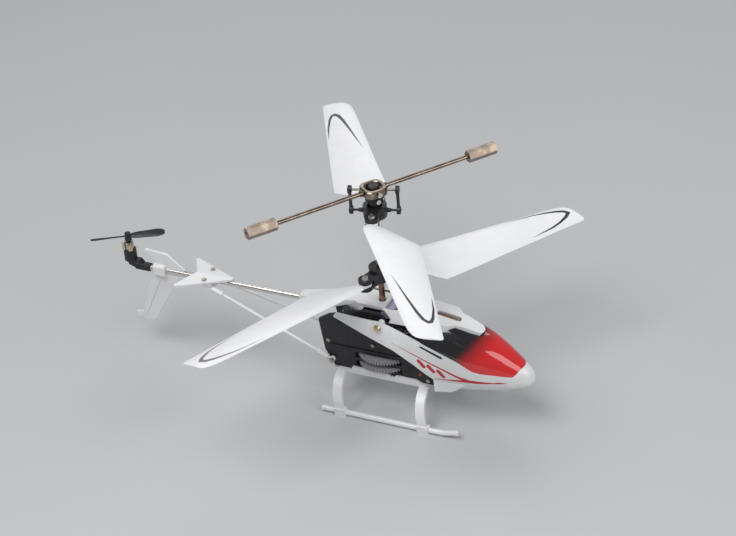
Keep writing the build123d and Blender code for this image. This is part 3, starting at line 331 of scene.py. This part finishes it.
def bearing_material():
    """Black moulding that turns smoky and translucent in front of the mast."""
    s = Shader("bearing_block")
    x = s.axes()[0]
    front = s.ramp(s.math("ADD", x, s.ramp(s.noise(300, 2), 0.3, 0.7, -0.4, 0.4)), 0.6, 1.6)
    s.base(Base_Color=s.mix(front, (0.014, 0.014, 0.016), (0.36, 0.33, 0.44)),
           Roughness=s.ramp(s.noise(260, 3), 0.3, 0.7, 0.2, 0.36))
    s.bump(s.noise(2200, 2), 0.1, 0.05)
    return s.material


bearing_block = bearing_material()
grille_grey = plastic("grille_grey", (0.11, 0.11, 0.115), 0.3, 0.1, 0.2, 0.3)
small_screws = metal("small_screws", (0.42, 0.36, 0.30), 0.24, (3.0, 3.0, 3.0), 0.4)
SPECIAL = {
    "upper_bearing_block": bearing_block,
    "frame_screws": small_screws,
    "strut_screws": small_screws,
}


# print on the side shell: x, z and share of the half width along each line of the fork
FORK = (
    [(9.0, 37.9, 0.2), (20.0, 33.7, 0.8), (31.0, 29.5, 1.3), (38.0, 26.6, 1.8), (41.5, 25.6, 2.4)],
    [(27.2, 23.7, 0.4), (34.0, 24.4, 1.2), (41.5, 25.1, 2.4)],
    [(40.5, 25.3, 2.8), (45.0, 24.9, 2.4), (52.5, 24.5, 1.0), (53.6, 24.6, 1.7), (57.6, 24.3, 0.1)],
)
FORK_HALF_W = 0.30
DASHES = 3
DASH_X = 20.9
DASH_Z = 31.6
DASH_PITCH = 4.2
DASH_FALL = 0.40
DASH_LEAN = (2.2, -2.4)
DASH_HALF_W = 0.85
PRINT_SOFT = 0.06


def canopy_material():
    """Gloss white side shell with a printed red fork and three slanted dashes."""
    s = Shader("canopy_white")
    x, _, z = s.axes()
    ink = None
    for line in FORK:
        mask = s.line_mask(x, z, line, FORK_HALF_W, PRINT_SOFT)
        ink = mask if ink is None else s.math("MAXIMUM", ink, mask)
    for k in range(DASHES):
        left = DASH_X + DASH_PITCH * k
        top = DASH_Z - DASH_FALL * (left - DASH_X)
        ends = [(left, top, 1.0), (left + DASH_LEAN[0], top + DASH_LEAN[1], 1.0)]
        ink = s.math("MAXIMUM", ink, s.line_mask(x, z, ends, DASH_HALF_W, PRINT_SOFT))
    cloud = s.ramp(s.noise(70, 3), 0.35, 0.68)
    white = s.mix(cloud, (0.74, 0.74, 0.74), (0.80, 0.80, 0.80))
    s.base(Base_Color=s.mix(ink, white, RED), Roughness=s.ramp(s.noise(300, 3), 0.3, 0.7, 0.2, 0.28))
    s.bsdf.inputs["Coat Weight"].default_value = 0.5
    s.bsdf.inputs["Coat Roughness"].default_value = 0.07
    s.bump(s.noise(1800, 2), 0.03, 0.04)
    return s.material


def windshield_material():
    """Gloss tinted bubble: black at the rear and top, through deep red to bright red at the nose."""
    s = Shader("windshield")
    x, _, z = s.axes()
    lean = s.math("SUBTRACT", x, z)
    blush = s.ramp(lean, -0.5, 6.5)
    bright = s.ramp(lean, 2.0, 13.0)
    deep = s.mix(blush, (0.004, 0.0035, 0.004), (0.30, 0.004, 0.006))
    s.base(Base_Color=s.mix(bright, deep, (0.68, 0.010, 0.012)),
           Roughness=s.ramp(s.noise(420, 2), 0.3, 0.7, 0.07, 0.12))
    s.bsdf.inputs["Coat Weight"].default_value = 1.0
    s.bsdf.inputs["Coat Roughness"].default_value = 0.04
    s.bump(s.noise(600, 2), 0.015, 0.05)
    return s.material


# print on the blades: distance from the blade screw, place across and share of the half width
UPPER_STRIPE = [
    (40.0, -0.6, 0.05), (48.2, -2.2, 0.5), (58.0, -4.1, 0.9), (66.8, -6.0, 1.3), (71.6, -7.5, 1.6),
    (73.4, -9.1, 1.7), (73.0, -10.3, 1.5), (70.4, -11.5, 1.2), (63.8, -13.0, 0.8), (55.4, -13.9, 0.1),
]
LOWER_STRIPE = [
    (53.0, 0.3, 0.05), (65.6, -1.0, 0.6), (71.8, -2.4, 1.0), (75.4, -3.5, 1.3), (78.6, -5.0, 1.6),
    (79.8, -6.7, 1.7), (77.6, -8.5, 1.4), (73.6, -10.3, 1.0), (69.2, -11.5, 0.8), (59.2, -12.8, 0.1),
]
STRIPE_HALF_W = 0.5
STRIPE_SOFT = 0.1


def blade_material(name, ink, stripe):
    """Satin white blade with a printed swept stripe near the tip and a faintly cloudy white."""
    s = Shader(name)
    reach, across, _ = s.marks()
    mask = s.line_mask(reach, across, stripe, STRIPE_HALF_W, STRIPE_SOFT)
    flow = s.ramp(s.noise(160, 3), 0.35, 0.7)
    white = s.mix(flow, (0.835, 0.835, 0.85), (0.86, 0.86, 0.875))
    s.base(Base_Color=s.mix(mask, white, ink),
           Roughness=s.ramp(s.noise(340, 3), 0.3, 0.7, 0.30, 0.42))
    s.bsdf.inputs["Subsurface Weight"].default_value = 0.06
    s.bsdf.inputs["Subsurface Scale"].default_value = 0.001
    s.bump(s.noise(2200, 2), 0.05, 0.04)
    return s.material


materials["canopy_white"] = canopy_material()
materials["windshield"] = windshield_material()
near_print = blade_material("blade_plastic", INK, UPPER_STRIPE)
materials["blade_plastic"] = near_print
far_print = blade_material("blade_print_far", (0.10, 0.098, 0.095), UPPER_STRIPE)
right_print = blade_material("blade_print_right", INK, LOWER_STRIPE)
left_print = blade_material("blade_print_left", (0.22, 0.21, 0.20), LOWER_STRIPE)

# every CAD node gets the material of its record slot and softly broken edges
EDGE = {
    "white_plastic": 0.16,
    "black_plastic": 0.1,
    "clear_plastic": 0.12,
    "gear_plastic": 0.05,
    "battery_wrap": 0.3,
    "board": 0.05,
}
OTHER_EDGE = 0.06
PLAIN_EDGES = {"left_skid", "right_skid"}
for row in frame["record"]["subparts"]:
    cad = nodes[row["node"]]
    cad.data.materials.clear()
    cad.data.materials.append(SPECIAL.get(row["node"], materials[row["material_slot"]]))
    if row["node"] not in PLAIN_EDGES:
        soften(cad, EDGE.get(row["material_slot"], OTHER_EDGE))

# ---------------------------------------------------------------- canopy form
# x, half width, low and high of the canopy
STATIONS = (
    (-18.0, 12.4, 15.0, 60.0), (0.0, 13.4, 15.0, 58.0), (12.0, 13.6, 15.0, 54.0), (22.0, 13.6, 15.2, 50.5),
    (32.0, 13.3, 15.6, 47.0), (40.0, 12.7, 16.2, 43.8), (47.0, 11.2, 17.0, 40.8), (53.0, 9.2, 17.8, 37.2),
    (58.5, 6.9, 18.8, 33.2), (62.5, 4.9, 19.8, 30.0), (65.2, 3.0, 21.0, 27.4), (66.7, 1.2, 22.6, 25.2),
)
# half cross-section as shares of the half width and the height
FORM = np.array([(0.0, 0.0), (0.62, 0.05), (0.93, 0.22), (1.0, 0.45), (0.90, 0.72), (0.54, 0.93), (0.0, 1.0)])
FORM_STEPS = 24
# seam between shell and windshield, as x and z
SEAM = ((22.0, 40.1), (30.8, 36.6), (37.2, 34.1), (40.9, 32.0), (43.6, 30.2), (47.0, 29.2), (52.0, 28.5),
        (59.3, 27.0), (62.6, 30.5))


def form_curve():
    """Half of the canopy's cross-section as unit (y, z), from the bottom centre to the ridge."""
    ring = np.vstack([FORM[1] * (-1, 1), FORM, FORM[-2] * (-1, 1)])
    samples = []
    for i in range(1, len(ring) - 2):
        p0, p1, p2, p3 = ring[i - 1:i + 3]
        for t in np.linspace(0, 1, FORM_STEPS, endpoint=False):
            samples.append(0.5 * (2 * p1 + (p2 - p0) * t + (2 * p0 - 5 * p1 + 4 * p2 - p3) * t**2
                                  + (3 * p1 - p0 - 3 * p2 + p3) * t**3))
    samples.append(ring[-2])
    return np.array(samples)


CURVE = form_curve()
STEP = np.linspace(0, 1, len(CURVE))


def station(x):
    """Half width, low and high of the canopy at x."""
    return [float(smooth_through([(s[0], s[k]) for s in STATIONS], np.array([x]))[0]) for k in (1, 2, 3)]


def skin(x, t, side, out=0.0):
    """Point of the canopy at x and share t of the way from its keel to its ridge, pushed out a little."""
    half, low, high = station(x)
    y = np.interp(t, STEP, CURVE[:, 0]) * (half + out)
    z = low - out + np.interp(t, STEP, CURVE[:, 1]) * (high - low + 2 * out)
    return (x, side * y, z)


def share_at_height(x, z):
    """t where the canopy's side reaches height z at x."""
    half, low, high = station(x)
    return float(np.interp((z - low) / (high - low), CURVE[:, 1], STEP))


def share_at_width(x, y):
    """t on the upper half where the canopy narrows to half width y at x."""
    half = station(x)[0]
    top = len(CURVE) // 2
    ys, ts = CURVE[top:, 0][::-1], STEP[top:][::-1]
    return float(np.interp(y / half, ys, ts))


def on_path(points, x):
    """Straight-line value of (x, value) points at x."""
    return float(np.interp(x, [p[0] for p in points], [p[1] for p in points]))


SHELL_REAR_X = -17.5
BELLY_X = 26.5
BELLY_Z = 22.9
NOSE_X = 62.6
NOSE_Z = 23.9
NOSE_CAP = (63.4, 64.2, 64.9, 65.5, 66.0, 66.35, 66.55, 66.7)
TIP_X = 66.0
TIP_LENGTH = 0.7
WING_ROWS = 26
BELLY_ROWS = 12
SHELL_TOP = ((SHELL_REAR_X, 44.9), (-16.9, 46.2), (4.0, 46.1), (12.5, 43.3), (21.0, 40.2), *SEAM[1:])
SHELL_LOW = ((SHELL_REAR_X, 44.2), (0.9, 37.5), (9.6, 34.2), (18.7, 28.8), (BELLY_X, BELLY_Z))


def shell_mesh():
    """Side shell: two wings at the rear that join under the belly and round the nose."""
    xs = np.concatenate([np.linspace(SHELL_REAR_X, BELLY_X, 46), np.linspace(BELLY_X + 1, NOSE_X, 36),
                         NOSE_CAP])
    split = share_at_height(BELLY_X, BELLY_Z)
    rows = BELLY_ROWS + WING_ROWS
    verts, faces, index = [], [], {}
    for i, x in enumerate(xs):
        belly = x >= BELLY_X
        top = 1.0 if x >= NOSE_X else share_at_height(x, on_path(SHELL_TOP, x))
        low = split if belly else share_at_height(x, on_path(SHELL_LOW, x))
        low = min(low, top * 0.98) if belly else low
        tip = max(0.0, (x - TIP_X) / TIP_LENGTH)
        shrink = math.sqrt(1 - 0.8 * tip**2)
        for side in (-1, 1):
            for j in range(rows + 1):
                if j < BELLY_ROWS:
                    if not belly:
                        continue
                    t = low * j / BELLY_ROWS
                else:
                    t = low + (top - low) * (j - BELLY_ROWS) / WING_ROWS
                key = (i, side, j)
                if side > 0 and belly and (j == 0 or (x >= NOSE_X and j == rows)):
                    index[key] = index[(i, -1, j)]
                    continue
                px, py, pz = skin(x, t, side)
                index[key] = len(verts)
                verts.append((px, py * shrink, NOSE_Z + (pz - NOSE_Z) * shrink))
    last = len(xs) - 1
    for i in range(last):
        for side in (-1, 1):
            for j in range(rows):
                corners = [(i, side, j), (i + 1, side, j), (i + 1, side, j + 1), (i, side, j + 1)]
                if all(c in index for c in corners):
                    quad = [index[c] for c in corners]
                    if len(set(quad)) == 4:
                        faces.append(quad if side < 0 else quad[::-1])
    cap = [index[(last, -1, j)] for j in range(rows + 1)]
    cap += [index[(last, 1, j)] for j in range(rows - 1, 0, -1)]
    faces.append(cap)
    return verts, faces


# half width of the hood over the windshield
HOOD_TIP_X = 45.3
HOOD_HALF = ((3.0, 8.2), (30.4, 8.2), (34.2, 4.6), (43.6, 2.8), (44.6, 1.9), (45.1, 1.0), (HOOD_TIP_X, 0.0))
HOOD_GAP = 0.1
BUBBLE_REAR_X = 22.0
BUBBLE_ROWS = 22
BUBBLE_INSET = 0.03


def windshield_mesh():
    """Bubble between the seam and the hood, closed over the ridge ahead of the hood."""
    xs = np.concatenate([np.linspace(BUBBLE_REAR_X, 43.6, 40), [44.2, 44.7, 45.0, HOOD_TIP_X],
                         np.linspace(46.2, 62.55, 36)])
    rows = BUBBLE_ROWS
    verts, faces, index = [], [], {}
    for i, x in enumerate(xs):
        low = share_at_height(x, on_path(SEAM, x))
        top = 1.0 if x >= HOOD_TIP_X else share_at_width(x, on_path(HOOD_HALF, x) + HOOD_GAP)
        top = max(top, low + 0.002)
        for side in (-1, 1):
            for j in range(rows + 1):
                if side > 0 and x >= HOOD_TIP_X and j == rows:
                    index[(i, side, j)] = index[(i, -1, j)]
                    continue
                index[(i, side, j)] = len(verts)
                verts.append(skin(x, low + (top - low) * j / rows, side, -BUBBLE_INSET))
    for i in range(len(xs) - 1):
        for side in (-1, 1):
            for j in range(rows):
                quad = [index[(i, side, j)], index[(i + 1, side, j)], index[(i + 1, side, j + 1)],
                        index[(i, side, j + 1)]]
                if len(set(quad)) == 4:
                    faces.append(quad if side < 0 else quad[::-1])
    return verts, faces


shell = mesh_piece("side_shell", *shell_mesh())
modify(shell, "SOLIDIFY", thickness=0.9 * MM, offset=-1.0, use_even_offset=False)
soften(shell, 0.14, 40)
dress(shell, materials["canopy_white"], "airframe", "canopy_shell")

# outlines in x and z
FIN_OUTLINE = ((26.4, 23.4), (39.9, 22.4), (36.9, 19.4), (33.9, 17.7), (26.6, 16.4))
FIN_Y = 11.9
FIN_HALF_T = 0.5
STRIP_OUTLINE = ((4.6, 43.1), (24.4, 39.6), (24.4, 38.2), (4.6, 41.7))
STRIP_FALL = 0.177
GRILLE_Y = 9.3
STRIP_HALF_T = 0.35
RIBS = 17
RIB_X = 5.4
RIB_PITCH = 1.15
RIB_OUTLINE = ((-0.5, -1.5), (-0.1, -1.6), (0.5, 0.35), (0.1, 0.45))
RIB_HALF_T = 0.7
SLOT_OUTLINE = ((21.4, 38.3), (22.0, 38.75), (31.0, 35.35), (31.4, 34.75), (30.6, 34.6))
SLOT_PROUD = 0.22
SLOT_DEPTH = 0.5
CHIN_OUTLINE = ((46.0, 19.6), (47.0, 17.6), (53.6, 15.2), (55.2, 15.4), (57.2, 17.4), (57.6, 19.4))
CHIN_HALF_T = 2.4


def skirt_fin(tag, side):
    """Fin that hangs from the shell's lower edge beside the front leg."""
    fin = prism(f"{tag}_skirt_fin", FIN_OUTLINE, side * FIN_Y - FIN_HALF_T, side * FIN_Y + FIN_HALF_T)
    soften(fin, 0.2, 30, 3)
    dress(fin, materials["canopy_white"], "airframe")


def grille(tag, side):
    """Ribbed black strip between the hood and the side shell."""
    y = side * GRILLE_Y
    strip = prism(f"{tag}_grille_strip", STRIP_OUTLINE, y - STRIP_HALF_T, y + STRIP_HALF_T)
    soften(strip, 0.1, 30)
    dress(strip, materials["black_plastic"], "airframe")
    for k in range(RIBS):
        x = RIB_X + RIB_PITCH * k
        z = STRIP_OUTLINE[0][1] - STRIP_FALL * (x - STRIP_OUTLINE[0][0])
        outline = [(x + dx, z + dz) for dx, dz in RIB_OUTLINE]
        rib = prism(f"{tag}_grille_rib_{k + 1}", outline, y - RIB_HALF_T, y + RIB_HALF_T)
        soften(rib, 0.06, 30)
        dress(rib, grille_grey if k % 3 else materials["black_plastic"], "airframe")


def shell_slot(tag, side):
    """Long dark slot under the shell's top edge, laid along the curved wall."""
    wall = [skin(x, share_at_height(x, z), side, SLOT_PROUD)[1] for x, z in SLOT_OUTLINE]
    verts = [(x, y, z) for (x, z), y in zip(SLOT_OUTLINE, wall)]
    verts += [(x, y - side * SLOT_DEPTH, z) for (x, z), y in zip(SLOT_OUTLINE, wall)]
    inlay = mesh_piece(f"{tag}_shell_slot", verts, plate_faces(len(SLOT_OUTLINE)), flat=True)
    recalc_normals(inlay)
    dress(inlay, materials["black_plastic"], "airframe")


for side, tag in ((-1, "right"), (1, "left")):
    skirt_fin(tag, side)
    grille(tag, side)
    shell_slot(tag, side)
chin = prism("chin", CHIN_OUTLINE, -CHIN_HALF_T, CHIN_HALF_T)
soften(chin, 0.5, 25, 3)
dress(chin, materials["canopy_white"], "airframe")

bubble = mesh_piece("bubble", *windshield_mesh())
modify(bubble, "SOLIDIFY", thickness=0.8 * MM, offset=-1.0, use_even_offset=False)
soften(bubble, 0.1, 40)
dress(bubble, materials["windshield"], "airframe", "windshield")

# ---------------------------------------------------------------- rotor blades
# distance from the blade screw and the place of each edge across the blade
LEADING = (
    (2.9, 3.0), (4.2, 4.3), (8.0, 4.6), (12.5, 4.3), (22.0, 3.5), (60.0, 0.8), (76.0, -0.5), (79.6, -1.4),
    (81.8, -2.8), (82.8, -4.3), (83.4, -6.5), (83.9, -8.8), (84.3, -10.8), (84.5, -11.6),
)
TRAILING = (
    (2.9, -2.6), (4.0, -4.6), (8.0, -9.2), (12.5, -14.4), (15.3, -17.0), (22.0, -16.8),
    (82.6, -13.2), (83.6, -13.1), (84.2, -12.7), (84.5, -12.2),
)
BLADE_START = 2.9
BLADE_END = 84.5
REACHES = np.concatenate([
    np.linspace(BLADE_START, 15.3, 22), [16.2, 17.0], np.linspace(18, 76, 30), np.linspace(77, 83.6, 14),
    [84.0, 84.3, BLADE_END],
])
COLUMNS = 17
ROOT_PITCH = 16.6
WASHOUT = 8.0
CAMBER = 0.05
ROOT_RIB = 0.18
EYE_HALF_T = 0.6
EYE_R = 2.6
EYE_HOLE_R = 0.78
EYE_STRETCH = (1.75, 0.92)
EYE_SIDES = 40
JOINTS = {joint["name"]: joint for joint in frame["record"]["behaviour"]["joints"]}


def blade_outline(reach):
    """Leading and trailing edge at a distance from the blade screw."""
    front = float(smooth_through(LEADING, np.array([reach]))[0])
    back = float(np.interp(reach, [p[0] for p in TRAILING], [p[1] for p in TRAILING]))
    return front, back


def blade_piece(name, node, lead_side, material, body):
    """Pitched, cambered blade, parked where its joint's range is 45 degrees to each side of radial."""
    joint = JOINTS[f"{body}_swing"]
    pivot = np.array(joint["pos_m"]) / MM
    azimuth = round(math.degrees(math.atan2(pivot[1], pivot[0])), 1)
    out = turn(azimuth - sum(joint["range_deg"]) / 2)
    lead = np.array([-out[1], out[0], 0.0]) * lead_side
    verts, uvs = [], []
    for surface in (1, -1):
        for reach in REACHES:
            front, back = blade_outline(reach)
            pitch = math.radians(ROOT_PITCH - WASHOUT * reach / BLADE_END)
            chordwise = lead * math.cos(pitch) + np.array([0, 0, math.sin(pitch)])
            normal = np.cross(out, chordwise)
            normal = normal if normal[2] > 0 else -normal
            for c in range(COLUMNS):
                s = c / (COLUMNS - 1)
                across = back + (front - back) * s
                camber = CAMBER * (front - back) * (1 - (2 * s - 1) ** 2)
                full = (1.0 - 0.15 * reach / BLADE_END) / 2
                profile = math.sqrt(max(0.0, 1 - (2 * s - 1) ** 6)) * (0.45 + 0.55 * s)
                rib = ROOT_RIB * math.exp(-((reach - 9) / 9) ** 2) * math.exp(-((across - 0.5) / 2.0) ** 2)
                end = min(1.0, (BLADE_END - reach) / 1.2 + 0.25)
                thick = full * profile * end + rib
                point = pivot + out * reach + chordwise * across + normal * (camber + surface * thick)
                verts.append(tuple(point))
                uvs.append((reach, across))
    count = len(REACHES)
    base = count * COLUMNS
    faces = grid_faces(count, COLUMNS) + [f[::-1] for f in grid_faces(count, COLUMNS, base)]
    for r in range(count - 1):
        a, b = r * COLUMNS, (r + 1) * COLUMNS
        faces.append((a, b, base + b, base + a))
        a, b = a + COLUMNS - 1, b + COLUMNS - 1
        faces.append((b, a, base + a, base + b))
    for r in (0, count - 1):
        for c in range(COLUMNS - 1):
            a, b = r * COLUMNS + c, r * COLUMNS + c + 1
            faces.append((a, base + a, base + b, b) if r == 0 else (b, base + b, base + a, a))
    # root eye held on the blade screw
    ring, start = EYE_SIDES, len(verts)
    for z in (EYE_HALF_T, -EYE_HALF_T):
        for radius in (EYE_HOLE_R, EYE_R):
            for k in range(ring):
                a = 2 * math.pi * k / ring
                px, py = radius * math.cos(a), radius * math.sin(a)
                if radius == EYE_R and px > 0:
                    px, py = px * EYE_STRETCH[0], py * EYE_STRETCH[1]
                point = pivot + out * px + lead * py + np.array([0, 0, z])
                verts.append(tuple(point))
                uvs.append((px, py))
    for k in range(ring):
        n = (k + 1) % ring
        t_in, t_out = start, start + ring
        b_in, b_out = start + 2 * ring, start + 3 * ring
        faces += [(t_in + k, t_out + k, t_out + n, t_in + n), (b_in + n, b_out + n, b_out + k, b_in + k),
                  (t_out + k, b_out + k, b_out + n, t_out + n), (t_in + n, b_in + n, b_in + k, t_in + k)]
    piece = mesh_piece(name, verts, faces, uvs)
    recalc_normals(piece)
    soften(piece, 0.12, 50)
    dress(piece, material, body, node)


blade_piece("right_lower_blade", "lower_blade_1", 1, right_print, "lower_blade_a")
blade_piece("left_lower_blade", "lower_blade_2", 1, left_print, "lower_blade_b")
blade_piece("far_upper_blade", "upper_blade_1", -1, far_print, "upper_blade_a")
blade_piece("near_upper_blade", "upper_blade_2", -1, near_print, "upper_blade_b")

# ---------------------------------------------------------------- stage, light, camera
FLOOR_HALF = 6.0
corners = [(x * FLOOR_HALF, y * FLOOR_HALF, 0) for x, y in ((-1, -1), (1, -1), (1, 1), (-1, 1))]
floor_mesh = bpy.data.meshes.new("floor")
floor_mesh.from_pydata(corners, [], [(0, 1, 2, 3)])
floor = bpy.data.objects.new("floor", floor_mesh)
bpy.context.scene.collection.objects.link(floor)
paper = Shader("pale_floor")
shade = paper.ramp(paper.noise(3, 2), 0.3, 0.7)
paper.base(Base_Color=paper.mix(shade, (0.52, 0.525, 0.53), (0.545, 0.545, 0.55)), Roughness=0.6)
floor_mesh.materials.append(paper.material)

world = bpy.data.worlds.new("studio")
world.use_nodes = True
sky = world.node_tree.nodes["Background"].inputs
sky["Color"].default_value = (0.80, 0.83, 0.88, 1.0)
sky["Strength"].default_value = 0.34
bpy.context.scene.world = world
CENTRE = Vector((-0.005, 0.0, 0.05))


def view_back(azimuth, elevation):
    """Unit vector from the object towards a viewer or lamp; azimuth 0 looks along +Y."""
    a, e = math.radians(azimuth), math.radians(elevation)
    return Vector((math.sin(a) * math.cos(e), -math.cos(a) * math.cos(e), math.sin(e)))


def softbox(name, azimuth, elevation, distance, size, power):
    """Area light aimed at the object's middle."""
    data = bpy.data.lights.new(name, "AREA")
    data.shape = "RECTANGLE"
    data.size, data.size_y = size
    data.energy = power
    lamp = bpy.data.objects.new(name, data)
    back = view_back(azimuth, elevation)
    lamp.location = CENTRE + back * distance
    lamp.rotation_mode = "QUATERNION"
    lamp.rotation_quaternion = (-back).to_track_quat("-Z", "Y")
    bpy.context.scene.collection.objects.link(lamp)


softbox("key", -20, 62, 0.9, (0.7, 0.5), 5.4)
softbox("side", 75, 30, 0.9, (0.5, 0.6), 2.3)
softbox("rear", 190, 40, 1.0, (0.9, 0.4), 1.8)

camera_data = bpy.data.cameras.new("camera")
camera = bpy.data.objects.new("camera", camera_data)
bpy.context.scene.collection.objects.link(camera)
bpy.context.scene.camera = camera
AZIMUTH, ELEVATION, ROLL = 27.01, 33.53, -5.00
DISTANCE = 0.91546
TARGET = Vector((-0.00513, -0.00069, 0.0640))
LENS, SENSOR = 108.81, 36.0
back = view_back(AZIMUTH, ELEVATION)
level = Vector(turn(AZIMUTH))
upright = back.cross(level)
roll = math.radians(ROLL)
right = level * math.cos(roll) + upright * math.sin(roll)
up = upright * math.cos(roll) - level * math.sin(roll)
rotation = Matrix((right, up, back)).transposed()
camera.matrix_world = Matrix.Translation(TARGET + back * DISTANCE) @ rotation.to_4x4()
camera_data.lens = LENS
camera_data.sensor_width = SENSOR
camera_data.clip_start, camera_data.clip_end = 0.05, 30.0
bpy.context.scene.view_settings.view_transform = "Standard"
